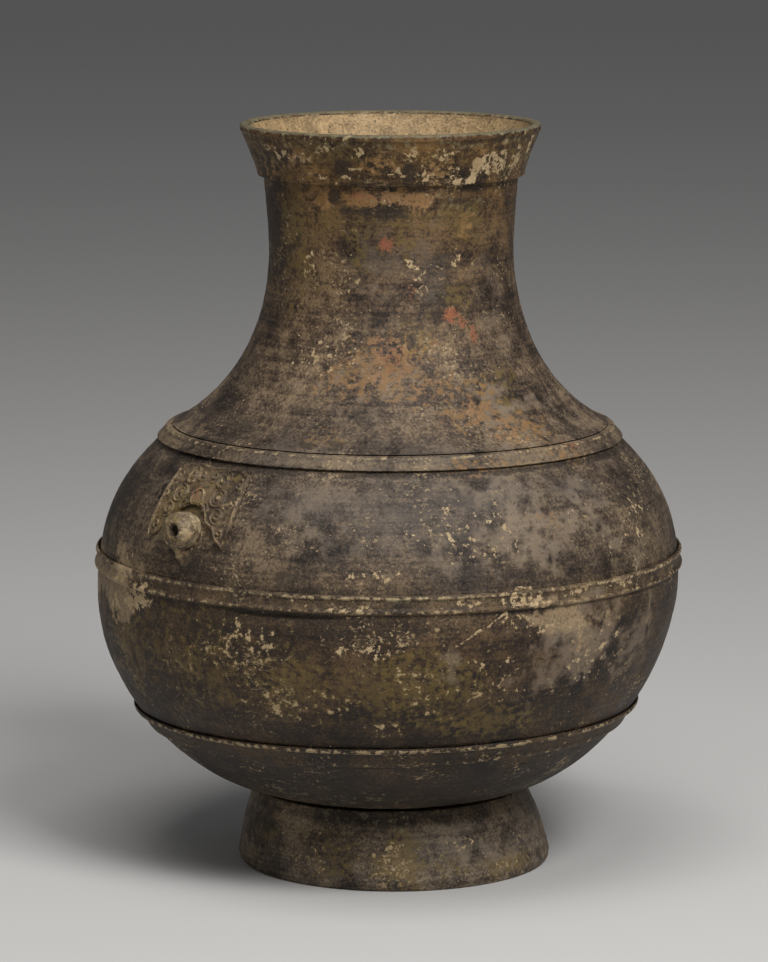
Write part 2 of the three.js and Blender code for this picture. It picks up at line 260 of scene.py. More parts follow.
def wheel_tree():
    """Geometry Nodes that throw a profile of (radius, 0, height) points into a closed ring of clay."""
    tree = bpy.data.node_groups.new("thrown_on_the_wheel", "GeometryNodeTree")
    for name, kind in (("Profile", "Geometry"), ("Sides", "Int"), ("Rows", "Int"), ("Clay", "Material")):
        tree.interface.new_socket(name=name, in_out="INPUT", socket_type="NodeSocket" + kind)
    tree.interface.new_socket(name="Ring", in_out="OUTPUT", socket_type="NodeSocketGeometry")
    given = add(tree, "NodeGroupInput").outputs
    columns = calculate(tree, "ADD", given["Sides"], 1.0)
    corners = {"Vertices X": columns, "Vertices Y": given["Rows"]}
    grid = add(tree, "GeometryNodeMeshGrid", corners).outputs["Mesh"]
    index = add(tree, "GeometryNodeInputIndex").outputs[0]
    row = calculate(tree, "MODULO", index, given["Rows"])
    shifted = calculate(tree, "ADD", index, 0.5)
    ratio = calculate(tree, "DIVIDE", shifted, given["Rows"])
    column = calculate(tree, "FLOOR", ratio)
    turn = calculate(tree, "DIVIDE", column, given["Sides"])
    angle = calculate(tree, "MULTIPLY", turn, math.tau)
    place = add(tree, "GeometryNodeInputPosition").outputs[0]
    sample = add(tree, "GeometryNodeSampleIndex", data_type="FLOAT_VECTOR", domain="POINT")
    tree.links.new(given["Profile"], sample.inputs["Geometry"])
    tree.links.new(place, sample.inputs["Value"])
    tree.links.new(row, sample.inputs["Index"])
    point = add(tree, "ShaderNodeSeparateXYZ", {0: sample.outputs[0]}).outputs
    cosine = calculate(tree, "COSINE", angle)
    sine = calculate(tree, "SINE", angle)
    x = calculate(tree, "MULTIPLY", point["X"], cosine)
    y = calculate(tree, "MULTIPLY", point["X"], sine)
    thrown = add(tree, "ShaderNodeCombineXYZ", {"X": x, "Y": y, "Z": point["Z"]}).outputs[0]
    ring = add(tree, "GeometryNodeSetPosition", {"Geometry": grid, "Position": thrown}).outputs[0]
    joined = add(tree, "GeometryNodeMergeByDistance", {"Geometry": ring, "Distance": 1e-6}).outputs[0]
    real = add(tree, "GeometryNodeRealizeInstances", {"Geometry": joined}).outputs[0]
    clad = add(tree, "GeometryNodeSetMaterial", {"Geometry": real, "Material": given["Clay"]}).outputs[0]
    add(tree, "NodeGroupOutput", {"Ring": clad})
    return tree


WHEEL = wheel_tree()


def throw(name, profile, clay, sides=SIDES):
    """A mesh piece turned from a profile in millimetres."""
    on_axis = profile[0][0] < 1e-6
    rows = profile if on_axis else np.concatenate([profile, profile[:1]])
    points = [(radius * MM, 0, height * MM) for radius, height in rows]
    draft = bpy.data.meshes.new(name + "_profile")
    draft.from_pydata(points, [], [])
    blank = bpy.data.objects.new(name, draft)
    bpy.context.collection.objects.link(blank)
    wheel = blank.modifiers.new("wheel", "NODES")
    wheel.node_group = WHEEL
    sockets = {item.name: item.identifier for item in WHEEL.interface.items_tree if item.in_out == "INPUT"}
    wheel[sockets["Sides"]] = sides
    wheel[sockets["Rows"]] = len(rows)
    wheel[sockets["Clay"]] = clay
    evaluated = blank.evaluated_get(bpy.context.evaluated_depsgraph_get())
    mesh = bpy.data.meshes.new_from_object(evaluated)
    blank.modifiers.remove(wheel)
    blank.data = mesh
    mesh.name = name
    return blank


def positions(mesh):
    flat = np.empty(len(mesh.vertices) * 3)
    mesh.vertices.foreach_get("co", flat)
    return flat.reshape(-1, 3) / MM


def normals(mesh):
    flat = np.empty(len(mesh.vertices) * 3)
    mesh.vertex_normals.foreach_get("vector", flat)
    return flat.reshape(-1, 3)


def set_positions(mesh, points):
    mesh.vertices.foreach_set("co", (points * MM).ravel())
    mesh.update()


def face_out(mesh):
    """Turns a closed mesh so that its faces point out."""
    mesh.calc_loop_triangles()
    corners = np.empty(len(mesh.loop_triangles) * 3, int)
    mesh.loop_triangles.foreach_get("vertices", corners)
    a, b, c = positions(mesh)[corners.reshape(-1, 3)].transpose(1, 0, 2)
    if np.einsum("ij,ij->i", a, np.cross(b, c)).sum() < 0:
        mesh.flip_normals()


def noise(points, size, seed):
    """Smooth noise from -1 to 1, with features of one size in millimetres."""
    scaled = points / size + seed * 7.13
    cell = np.floor(scaled).astype(np.int64)
    part = scaled - cell
    part = part * part * (3 - 2 * part)
    total = np.zeros(len(points))
    for corner in np.ndindex(2, 2, 2):
        x, y, z = (cell + corner).T
        mixed = (x * 374761393 + y * 668265263 + z * 1440662683 + seed * 97531) & 0xFFFFFFFF
        mixed = ((mixed ^ (mixed >> 13)) * 1274126177) & 0xFFFFFFFF
        value = ((mixed ^ (mixed >> 16)) & 0xFFFF) / 32767.5 - 1
        total += value * np.prod(np.where(corner, part, 1 - part), axis=1)
    return total


def settle(points):
    """Leans and slumps points as the fired jar does."""
    height = points[:, 2]
    share = np.clip(height / BELLY_BAND, 0, 1)
    # The lean is read every 5 mm and smoothed over 35 mm
    fine = np.linspace(0, MOUTH, 91)
    rough = np.interp(fine, LEAN_HEIGHTS, LEAN)
    smooth = np.convolve(np.pad(rough, 3, mode="edge"), np.ones(7) / 7, mode="valid")
    x = points[:, 0] + np.interp(height, fine, smooth)
    z = height + SLUMP * points[:, 0] * np.sin(math.pi * share) ** 2
    return np.stack([x, points[:, 1], z], axis=1)


def azimuths(points):
    """Degrees round the jar from the front, positive to the right."""
    return np.degrees(np.arctan2(points[:, 0], -points[:, 1]))


# How deep and how wide, in millimetres, the marks of fingers, drying and burial are
RIDGE_DEPTH, RIDGE_PITCH = 0.22, 2.6
DENT_DEPTH, DENT_WIDTH = 0.55, 38
LUMP_DEPTH, LUMP_WIDTH = 0.25, 11
PIT_DEPTH, PIT_WIDTH = 0.6, 3.4


def hand_marks(points):
    """How deep the surface lies under its thrown face: finger ridges, dents, pits and worn spots."""
    turned = np.stack([points[:, 0] * 0.05, points[:, 1] * 0.05, points[:, 2]], axis=1)
    ridges = 0.5 + 0.5 * noise(turned, RIDGE_PITCH, 1)
    dents = 0.5 + 0.5 * noise(points, DENT_WIDTH, 2)
    lumps = 0.5 + 0.5 * noise(points, LUMP_WIDTH, 3)
    pits = np.clip(noise(points, PIT_WIDTH, 4) - 0.35, 0, 1)
    return RIDGE_DEPTH * ridges + DENT_DEPTH * dents + LUMP_DEPTH * lumps + PIT_DEPTH * pits


# Azimuth and half turn in degrees, the rest in millimetres
GAP_AZIMUTH, GAP_HALF_TURN, GAP_HEIGHT, GAP_HALF_HEIGHT, GAP_DEPTH = -19.5, 11.5, 181.6, 1.5, 2.6


def band_gap(points):
    """The open gap where the belly band has lifted off the wall, at the left of the front."""
    off_middle = np.abs(azimuths(points) - GAP_AZIMUTH) / GAP_HALF_TURN
    along = np.clip(1 - off_middle, 0, 1) ** 0.5
    return GAP_DEPTH * along * np.exp(-((points[:, 2] - GAP_HEIGHT) / GAP_HALF_HEIGHT) ** 2)


# Weathering, painted shade and painted sheen

# Patches: azimuth in degrees, height, half width and half height in mm, strength.
# Cream is slip flaked to the clay, tan dust is dried soil, bare is a smooth patch of clay without slip,
# green is a thin mineral crust, orange and ochre are stained soil, soot is dark soil and in places painted
# shade, and painted sheen is a painted highlight: lighter grey patches that stand for the gloss of the slip.
# A half width of 300 mm or more goes all round the jar.

CREAM = [
    (41, 430, 12, 8, 1.0), (50, 433, 8, 8, 0.9), (62, 431, 7, 9, 0.85), (72, 440, 6, 6, 0.8),
    (28, 428, 9, 5, 0.55), (7, 436, 9, 6, 0.65), (13, 428, 4, 7, 0.7), (-14, 427, 6, 3, 0.75),
    (-18, 424, 6, 2, 0.7), (-56, 440, 6, 4, 0.6), (-27, 441, 6, 4, 0.55), (-23, 400, 5, 2, 0.5),
    (40, 369, 4, 2.5, 0.6), (-19, 340, 6, 4, 0.35), (-57, 178, 17, 9, 0.95), (-63, 190, 16, 6, 1.0),
    (-54, 186, 9, 5, 0.95), (-62, 204, 7, 5, 0.6), (-66, 168, 9, 9, 0.8), (26, 190, 22, 6, 0.7),
    (38, 191, 16, 5, 0.66), (24, 178, 12, 7, 0.6), (31, 172, 12, 8, 0.6), (16, 190, 12, 3, 0.7),
    (50, 191, 14, 3.5, 0.6), (-8, 188, 26, 2.5, 0.6), (-22, 190, 22, 2.5, 0.5), (-1, 207, 13, 4, 0.62),
    (-7, 205, 5, 4, 0.55), (-46, 213, 8, 6, 0.85), (-41, 222, 4, 7, 0.6), (6, 208, 5, 3, 0.5),
    (-9, 124, 9, 3, 0.7), (8, 128, 16, 9, 0.55), (5, 145, 14, 7, 0.5), (-14, 150, 5, 7, 0.45),
    (0, 113, 12, 4, 0.5), (-35, 118, 9, 4, 0.4), (-30, 160, 32, 16, 0.52), (-5, 166, 32, 9, 0.55),
    (20, 142, 26, 16, 0.5), (-20, 130, 34, 14, 0.5), (44, 150, 26, 20, 0.5), (-50, 436, 8, 6, 0.75),
    (-38, 434, 7, 5, 0.7), (-30, 424, 8, 4, 0.65), (-12, 438, 8, 5, 0.65), (20, 437, 9, 5, 0.7),
    (0, 427, 9, 5, 0.6), (16, 423, 8, 4, 0.66), (30, 422, 12, 5, 0.75), (-40, 372, 9, 14, 0.5),
    (-20, 358, 12, 10, 0.5), (10, 368, 10, 12, 0.5), (30, 375, 8, 10, 0.52), (-30, 320, 24, 16, 0.45),
    (60, 225, 20, 24, 0.5), (15, 228, 36, 18, 0.48), (-3, 22, 14, 12, 0.5), (46, 10, 12, 4, 0.45),
    (25, 26, 18, 12, 0.45), (-30, 20, 18, 12, 0.48), (24, 152, 6, 5, 0.5), (-25, 152, 4, 4, 0.45),
]
TAN_DUST = [
    (27, 224, 34, 20, 0.75), (42, 230, 26, 18, 0.6), (10, 214, 26, 12, 0.45), (-17, 226, 20, 14, 0.5),
    (-20, 240, 16, 9, 0.4), (40, 160, 34, 26, 0.85), (58, 152, 26, 24, 0.6), (30, 136, 24, 18, 0.5),
    (52, 210, 22, 14, 0.5), (37, 290, 26, 20, 0.55), (60, 284, 26, 16, 0.4), (-7, 300, 40, 22, 0.4),
    (20, 250, 40, 8, 0.45), (-60, 235, 18, 20, 0.35), (30, 60, 40, 10, 0.2), (40, 20, 34, 18, 0.45),
    (-10, 340, 30, 24, 0.35), (-42, 300, 30, 18, 0.3), (12, 155, 10, 14, 0.5), (-75, 300, 30, 30, 0.3),
]
ORANGE = [
    (-40, 436, 14, 8, 0.6), (20, 430, 12, 8, 0.5), (40, 440, 16, 6, 0.5), (10, 439, 12, 6, 0.55),
    (-3, 316, 26, 14, 0.62), (-12, 308, 20, 10, 0.6), (12, 304, 22, 9, 0.5), (28, 288, 18, 8, 0.6),
    (42, 280, 18, 8, 0.62), (34, 298, 10, 8, 0.5), (-32, 413, 8, 4.5, 0.85), (-40, 410, 6, 6, 0.6),
    (-12, 412, 13, 5, 0.95), (2, 413, 14, 4.5, 0.95), (14, 411, 8, 6, 0.85), (24, 414, 7, 4, 0.6),
    (-29, 407, 5, 4, 0.75), (-33, 427, 8, 5, 0.7), (-45, 428, 8, 5, 0.6), (0, 433, 14, 8, 0.5),
    (-8, 430, 8, 5, 0.5), (-52, 440, 7, 8, 0.4), (37, 393, 6, 8, 0.5), (22, 262, 20, 5, 0.4),
    (48, 262, 18, 5, 0.45), (-20, 276, 14, 5, 0.35), (-60, 420, 10, 10, 0.4), (33, 230, 9, 7, 0.3),
]
OCHRE = [
    (0, 436, 500, 14, 0.4), (0, 395, 36, 14, 0.3), (37, 395, 9, 12, 0.75), (28, 402, 8, 8, 0.5),
    (8, 385, 10, 14, 0.45), (-14, 375, 10, 16, 0.4), (30, 352, 12, 10, 0.5), (-28, 400, 12, 16, 0.45),
    (-50, 390, 16, 40, 0.55), (3, 22, 12, 16, 0.75), (-4, 14, 8, 8, 0.55), (46, 10, 18, 6, 0.7),
    (20, 14, 12, 8, 0.4), (5, 140, 40, 22, 0.55), (-18, 140, 36, 20, 0.5), (-40, 150, 40, 26, 0.45),
    (20, 118, 30, 10, 0.5), (-48, 232, 20, 14, 0.6), (-38, 250, 14, 6, 0.4), (-3, 440, 30, 8, 0.35),
    (-35, 438, 30, 10, 0.5), (-62, 150, 26, 30, 0.5), (-26, 22, 20, 16, 0.4), (42, 300, 16, 12, 0.4),
    (-60, 28, 20, 18, 0.35), (10, 330, 14, 10, 0.4),
]
RED = [
    (27, 342, 5, 5, 0.75), (32, 337, 4, 4, 0.7), (36, 330, 3, 5, 0.65), (-3, 385, 4, 4, 0.85),
    (18, 326, 3, 4, 0.45), (-2, 320, 12, 10, 0.35), (-13, 413, 8, 3, 0.5), (52, 268, 6, 4, 0.4),
    (-46, 243, 4, 4, 0.4), (8, 360, 4, 6, 0.3),
]
# Soot is partly dark soil and partly painted shade: the broad patches at the far left and right darken the
# sides where the light falls off, and those round the underside of the bowl, on the foot under it, just under
# the shoulder band, and in and under the gap below the belly band paint the shade there.
SOOT_AND_SHADE = [
    (-78, 232, 40, 30, 0.7), (-74, 140, 40, 26, 0.62), (-66, 385, 24, 50, 0.72), (-70, 300, 30, 24, 0.5),
    (78, 220, 24, 40, 0.5), (6.6, 427.6, 4.5, 4.2, 1.0), (-20, 430, 6, 5, 0.8), (-26, 413, 4, 6, 0.9),
    (0, 404, 12, 6, 0.7), (-14, 403, 12, 5, 0.75), (20, 408, 10, 8, 0.7), (10, 415, 4, 2, 0.7),
    (34, 404, 9, 8, 0.5), (47, 432, 3, 3, 0.9), (-60, 380, 20, 40, 0.5), (22, 345, 16, 14, 0.6),
    (-20, 278, 40, 10, 0.5), (-45, 276, 40, 12, 0.5), (12, 278, 16, 8, 0.55), (-20, 181.5, 34, 2.2, 1.0),
    (5, 242, 34, 14, 0.35), (-38, 205, 26, 12, 0.6), (-20, 200, 20, 9, 0.5), (38, 238, 18, 12, 0.3),
    (62, 236, 22, 22, 0.55), (-66, 225, 14, 14, 0.7), (-30, 165, 60, 16, 0.6), (-10, 172, 40, 7, 0.5),
    (8, 176, 14, 4, 0.5), (0, 66, 300, 16, 0.75), (70, 180, 26, 40, 0.4), (-45, 120, 50, 20, 0.6),
    (-10, 42, 60, 6, 0.8), (-60, 30, 30, 24, 0.6), (36, 122, 20, 10, 0.4), (16, 200, 16, 5, 0.5),
    (70, 5.5, 3, 2.5, 0.9), (50, 150, 5, 5, 0.6), (22, 258.5, 500, 1.6, 0.7), (80, 120, 40, 20, 0.5),
]
# Painted highlight: lighter grey patches that stand for light caught on the gloss of the slip
PAINTED_SHEEN = [
    (2, 236, 46, 22, 0.6), (-14, 244, 40, 14, 0.6), (18, 244, 36, 12, 0.6), (-8, 378, 22, 22, 0.45),
    (16, 370, 16, 24, 0.5), (-20, 270, 50, 10, 0.5), (8, 270, 50, 8, 0.5), (30, 268, 30, 6, 0.4),
    (46, 244, 24, 12, 0.5), (14, 205, 24, 12, 0.4), (20, 26, 40, 14, 0.5), (60, 20, 30, 18, 0.5),
    (-38, 10, 40, 6, 0.4), (50, 350, 14, 40, 0.4),
]
BARE = [
    (-66, 180, 24, 13, 1.0), (-62, 193, 20, 8, 0.95), (-66, 203, 10, 6, 0.7), (-64, 168, 16, 9, 0.95),
    (-80, 184, 22, 15, 0.9), (33, 179, 20, 7, 0.72), (37, 170, 18, 9, 0.68), (40, 159, 12, 9, 0.55),
    (48, 172, 16, 10, 0.5), (-43.5, 208.5, 7, 5, 0.9), (30, 189, 22, 5, 0.6),
]
GREEN = [
    (-25, 193, 40, 2, 0.5), (5, 192.5, 40, 2, 0.55), (-60, 444, 300, 3, 0.35), (30, 408, 20, 10, 0.35),
    (-10, 420, 12, 8, 0.3), (40, 190, 30, 3, 0.35), (-20, 60, 60, 8, 0.3), (0, 40, 60, 8, 0.3),
]
LAYERS = {
    "cream": CREAM, "dust": TAN_DUST, "bare": BARE, "green": GREEN, "orange": ORANGE,
    "ochre": OCHRE, "red": RED, "soot_and_shade": SOOT_AND_SHADE, "painted_sheen": PAINTED_SHEEN,
}

# The unseen side repeats the patches, mirrored about 88 degrees, where a copy then lies past 84 degrees
# from the front, and somewhat smaller
UNSEEN_TURN, UNSEEN_EDGE, UNSEEN_SIZE = 176, 84, 0.85


def patches(points, spots):
    """How strongly each point lies in a list of patches, or in their smaller mirrored copies at the back."""
    azimuth = azimuths(points)
    radius = np.hypot(points[:, 0], points[:, 1])
    total = np.zeros(len(points))
    wobble = 0.4 * noise(points, 13, 21) + 0.25 * noise(points, 5, 23)
    waver = 0.4 * noise(points, 11, 22) + 0.25 * noise(points, 4, 24)
    for copy in (0, 1):
        for centre, height, half_width, half_height, strength in spots:
            middle = centre if copy == 0 else UNSEEN_TURN - centre
            if copy and abs((middle + 180) % 360 - 180) < UNSEEN_EDGE:
                continue
            turn = (azimuth - middle + 180) % 360 - 180
            reach = half_width * (UNSEEN_SIZE if copy else 1)
            across = np.radians(turn) * radius / reach + wobble
            up = (points[:, 2] - height) / half_height + waver
            total = np.maximum(total, strength * np.exp(-0.7 * (across ** 2 + up ** 2) ** 1.3))
    return total


# Azimuth in degrees and height of both ends, and the width, in millimetres
CRACK_START, CRACK_END, CRACK_WIDTH = (23.7, 184), (10.6, 160), 1.8


def crack(points):
    """A dashed pale crack that runs down from the belly band."""
    azimuth = azimuths(points)
    (a0, z0), (a1, z1) = CRACK_START, CRACK_END
    share = (z0 - points[:, 2]) / (z0 - z1)
    off = np.radians(azimuth - (a0 + (a1 - a0) * share)) * BELLY_RADIUS + 1.2 * noise(points, 6, 9)
    inside = (share > 0) & (share < 1)
    return np.where(inside, np.exp(-(off / CRACK_WIDTH) ** 2), 0)


def paint(mesh, points, ridge=None, inside=None, grooves=0.0):
    """Writes the weathering, painted shade and painted sheen at each vertex for the materials to read."""
    values = {name: patches(points, spots) for name, spots in LAYERS.items()}
    lip_crust = 0.9 * np.exp(-((points[:, 2] - MOUTH) / 1.6) ** 2)
    values["cream"] = np.maximum(values["cream"], 1.1 * crack(points))
    values["green"] = np.maximum(values["green"], lip_crust)
    # Painted shade in the grooves of the masks and round the holes of the bosses is laid into the soot layer
    values["soot_and_shade"] = np.maximum(values["soot_and_shade"], grooves)
    values["ridge"] = np.zeros(len(points)) if ridge is None else ridge
    values["inside"] = np.zeros(len(points)) if inside is None else inside
    for name, value in values.items():
        layer = mesh.attributes.new(name, "FLOAT", "POINT")
        layer.data.foreach_set("value", value.astype(np.float32))


# Materials

# Real sizes in metres. Real grit is under 0.5 mm, finer than a pixel, so it is drawn at 1.6 mm to show.
FIELD_SIZES = {"broad": 0.040, "blotch": 0.011, "flake": 0.0042, "grit": 0.0016}
CLUSTER_SIZE, PORE_SIZE, RELIEF_DEPTH = 0.028, 0.0024, 0.0008

# Throwing lines, in features to the metre: 2.4 mm apart, and about 110 mm long round the jar
LINES_PER_METRE = (9, 9, 420)

# How much each field adds to the tone of the ground
GROUND_WEIGHTS = (("broad", 0.55), ("blotch", 0.45), ("lines", 0.22), ("grit", 0.52))

# Tint by share of the height: plain foot, darkest round the bowl, greyer shoulder, ochre collar
# The dark round the bowl, which faces down, is partly the clay's darker tone and partly painted shade
HEIGHT_TONE_AND_SHADE = (
    (0.0, "#fffdf6"), (0.085, "#f0eade"), (0.115, "#a8a090"), (0.2, "#8e8272"), (0.36, "#b09a7c"),
    (0.42, "#c4b7a4"), (0.47, "#ded5c9"), (0.58, "#e9e2da"), (0.7, "#f6e8d6"), (0.86, "#d2ba96"),
    (0.92, "#cdb07e"), (1.0, "#c9a878"),
)

# Layers, the lowest first: name, its two pigments, the field that breaks its edge and by how much,
# the strength at which it starts, how soft its edge is, and how much of the ground it hides
FINISHES = (
    # Painted light among the layers: the sheen row is a painted highlight and the soot row is partly painted
    # shade
    ("painted_sheen", "#6f6862", "#5d554e", "blotch", 0.9, 0.45, 0.6, 0.42),
    ("ochre", "#7d6634", "#5c4e2a", "flake", 1.3, 0.40, 0.45, 0.6),
    ("dust", "#a08e78", "#80705f", "blotch", 1.2, 0.6, 0.6, 0.6),
    ("bare", "#a58e6d", "#8a7459", "flake", 0.5, 0.5, 0.28, 0.85),
    ("orange", "#a17a52", "#82602f", "flake", 1.7, 0.52, 0.5, 0.66),
    ("soot_and_shade", "#1c1510", "#2a221a", "blotch", 1.2, 0.55, 0.35, 0.75),
    ("red", "#a8613f", "#8b5138", "grit", 1.2, 0.5, 0.3, 0.75),
    ("green", "#8b8468", "#66624e", "flake", 1.1, 0.5, 0.35, 0.6),
    ("cream", "#c6ad86", "#a8906a", "flake", 1.5, 0.72, 0.14, 0.92),
    ("ridge", "#b8a07a", "#93805f", "flake", 1.3, 0.62, 0.25, 0.8),
    ("inside", "#b4966c", "#7f6a4b", "blotch", 0.6, 0.4, 0.2, 1.0),
)

# Below the first strength a layer is left out, and from the second on it counts in full
FAINT, PRESENT = 0.02, 0.16

# Chips of slip: features to the metre, value at which they start and are full, tint, how much they hide.
# They are 3 mm flakes, scratches 7 mm long and 1.6 mm high, and 2 mm specks.
CHIPS = (
    ((300, 300, 340), 0.875, 0.95, "#a8906c", 0.7),
    ((140, 140, 620), 0.88, 0.97, "#917d5e", 0.55),
    ((520, 520, 520), 0.91, 0.97, "#bfa884", 0.75),
)
SOIL = "#19130e"


def weathered_pottery(name, dark, middle, light, roughness):
    """Low-fired brown pottery: slip worn matt, flaked to cream clay, with ochre soil, soot, painted shade,
    painted sheen and pale grit.
    """
    material = bpy.data.materials.new(name)
    material.use_nodes = True
    tree = material.node_tree
    tree.nodes.clear()
    place = add(tree, "ShaderNodeTexCoord").outputs["Object"]
    fields = {key: clouds(tree, place, 1 / size, 5.0, 0.62) for key, size in FIELD_SIZES.items()}
    drawn_out = add(tree, "ShaderNodeMapping", {"Vector": place, "Scale": LINES_PER_METRE}).outputs[0]
    fields["lines"] = clouds(tree, drawn_out, 1.0, 3.0)

    grain = 0.0
    for field, weight in GROUND_WEIGHTS:
        grain = calculate(tree, "MULTIPLY_ADD", fields[field], weight, grain)
    colour = colour_ramp(tree, grain, ((0.74, dark), (0.86, middle), (1.0, light)))
    height = add(tree, "ShaderNodeSeparateXYZ", {0: place}).outputs["Z"]
    zone = colour_ramp(tree, stretch(tree, height, 0.0, MOUTH * MM), HEIGHT_TONE_AND_SHADE)
    colour = mix(tree, 1.0, colour, zone, blend_type="MULTIPLY")

    mottle = calculate(tree, "ADD", fields["grit"], fields["blotch"])
    tone = stretch(tree, mottle, 0.86, 1.14)
    for layer, tint, second, field, weight, threshold, softness, most in FINISHES:
        amount = add(tree, "ShaderNodeAttribute", attribute_name=layer).outputs["Fac"]
        centred = calculate(tree, "SUBTRACT", fields[field], 0.5)
        broken = calculate(tree, "MULTIPLY_ADD", centred, weight * 2, amount)
        low, high = threshold - softness / 2, threshold + softness / 2
        cover = stretch(tree, broken, low, high, 0.0, most, "SMOOTHSTEP")
        share = calculate(tree, "MULTIPLY", cover, stretch(tree, amount, FAINT, PRESENT))
        pigment = mix(tree, tone, linear(tint), linear(second))
        colour = mix(tree, share, colour, pigment)

    cluster = clouds(tree, place, 1 / CLUSTER_SIZE, 2.0)
    for scale, low, high, tint, most in CHIPS:
        spread = add(tree, "ShaderNodeMapping", {"Vector": place, "Scale": scale}).outputs[0]
        chips = clouds(tree, spread, 1.0, 4.0, 0.6)
        value = calculate(tree, "MULTIPLY_ADD", cluster, 0.45, chips)
        colour = mix(tree, stretch(tree, value, low, high, 0.0, most), colour, linear(tint))

    # Soil darkens the open pores
    pores = clouds(tree, place, 1 / PORE_SIZE, 3.0)
    colour = mix(tree, stretch(tree, pores, 0.40, 0.31, 0.0, 0.5), colour, linear(SOIL))

    rough = stretch(tree, fields["blotch"], 0.3, 0.7, roughness - 0.12, roughness + 0.14)
    relief = calculate(tree, "ADD", fields["flake"], fields["grit"])
    bump = {"Height": relief, "Strength": 0.8, "Distance": RELIEF_DEPTH}
    bumped = add(tree, "ShaderNodeBump", bump).outputs[0]
    surface = add(tree, "ShaderNodeBsdfPrincipled", {
        "Base Color": colour, "Roughness": rough, "Normal": bumped, "IOR": 1.5, "Specular IOR Level": 0.35})
    add(tree, "ShaderNodeOutputMaterial", {"Surface": surface.outputs[0]})
    return material


# Thrown wall: low-fired clay under a worn slip, matt brown-grey with soil, soot, painted shade, painted sheen
# and pale chips
WALL_CLAY = weathered_pottery("weathered_slip_pottery", "#261e18", "#564a3f", "#8f7f6a", 0.6)
# Bands: the same slip rubbed off the crests, which show as broken cream lines
BAND_CLAY = weathered_pottery("worn_slip_bands", "#382f26", "#66594b", "#94836a", 0.62)
# Masks: slip over pressed relief, with painted shade in its grooves and pale on its worn lines
MASK_CLAY = weathered_pottery("pressed_slip_relief", "#3a3027", "#685a49", "#9a8769", 0.6)
# Bosses: bare clay rolled by hand, chalky and rough, the palest of the pieces
BOSS_CLAY = weathered_pottery("bare_grey_clay", "#4a4237", "#9a8c75", "#cdbd9e", 0.75)


# Pieces

def finish_piece(piece, node, slot, points, **painted):
    """Paints the weathering, painted shade and sheen, leans the piece as the jar leans, hangs it from the
    root and hides the frame's node it stands for.
    """
    mesh = piece.data
    paint(mesh, points, **painted)
    set_positions(mesh, settle(positions(mesh)))
    face_out(mesh)
    mesh.polygons.foreach_set("use_smooth", np.ones(len(mesh.polygons), bool))
    mesh.set_sharp_from_angle(angle=math.radians(50))
    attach(piece, "root")
    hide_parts(node)


def thrown_piece(node, profile, clay, slot, ridge=None, wear=1.0):
    """A thrown and weathered piece that stands for a node of the frame."""
    piece = throw(node + "_clay", profile, clay)
    mesh = piece.data
    face_out(mesh)
    points = positions(mesh)
    depth = hand_marks(points) * wear
    if node == "lower_belly":
        depth = depth + band_gap(points)
    # Marks fade out over 3 mm at the flat foot and lip, and over 10 mm at the turning axis
    height = points[:, 2]
    radius = np.hypot(points[:, 0], points[:, 1])
    fade = np.clip(np.minimum(height, MOUTH - height) / 3, 0, 1) * np.clip(radius / 10, 0, 1)
    set_positions(mesh, points - normals(mesh) * (depth * fade)[:, None])
    outline = np.concatenate([BODY, NECK[NECK[:, 1] > SHOULDER + 6], [(MOUTH_RADIUS, MOUTH)]])
    outer = np.interp(height, outline[:, 1], outline[:, 0])
    in_hollow = (height > FOOT_TOP) & (height < MOUTH - 1.5)
    inside = np.clip((outer - radius - 3) / 2, 0, 1) * in_hollow
    crest = None if ridge is None else ridge(points, radius - outer)
    finish_piece(piece, node, slot, points, ridge=crest, inside=inside)


# Crests where the slip has worn off, by how far they stand proud or by their height

def band_crest(_, stand):
    return np.clip((stand - 1.2) / 1.2, 0, 1) * 0.62


def shoulder_crest(points, _):
    return 0.55 * np.exp(-((points[:, 2] - SHOULDER - 5.8) / 1.1) ** 2)


def lip_crest(points, _):
    return 0.35 * np.exp(-((points[:, 2] - MOUTH + 1.5) / 2) ** 2)


LOWER_WALL = thrown_wall(BODY, LOWER_BAND + JOIN_GAP / 2, BELLY_BAND - JOIN_GAP / 2, BODY_WALL)
UPPER_WALL = thrown_wall(BODY, BELLY_BAND + JOIN_GAP / 2, SHOULDER, BODY_WALL)
BAND_WEAR = 0.7

for node, profile, ridge in (
    ("foot_ring", foot_profile(), None),
    ("lower_bowl", bowl_profile(), None),
    ("lower_belly", LOWER_WALL, None),
    ("upper_belly", UPPER_WALL, None),
    ("shoulder_neck", shoulder_neck_profile(), None),
    ("mouth_collar", collar_profile(), lip_crest),
):
    thrown_piece(node, profile, WALL_CLAY, "body_clay", ridge)

for node, profile, ridge in (
    ("shoulder_band", shoulder_band_profile(), shoulder_crest),
    ("belly_band", body_band_profile(BELLY_BAND, BELLY_BAND_WIDTH, BELLY_RIDGES), band_crest),
    ("lower_band", body_band_profile(LOWER_BAND, LOWER_BAND_WIDTH, LOWER_RIDGES), band_crest),
):
    thrown_piece(node, profile, BAND_CLAY, "band_clay", ridge, BAND_WEAR)


# Masks and nose bosses

# Upper and lower edge of the mask: share of its half width, and how far down from its top in millimetres
HORN = ([0, 0.35, 0.75, 1], [0.8, 0.2, 0.8, 3.5])
JAW = ([0, 0.31, 0.62, 0.74, 0.905, 1], [27.5, 28.8, 33.5, 39.3, 42.7, 31])

# In millimetres: plate, relief over it, gap behind it, and how far in from its edge the raised rim lies
PLATE, RAISED, BACK_GAP, RIM_IN = 1.2, 1.6, 0.35, 1.4
MASK_COLUMNS, MASK_ROWS = 210, 130

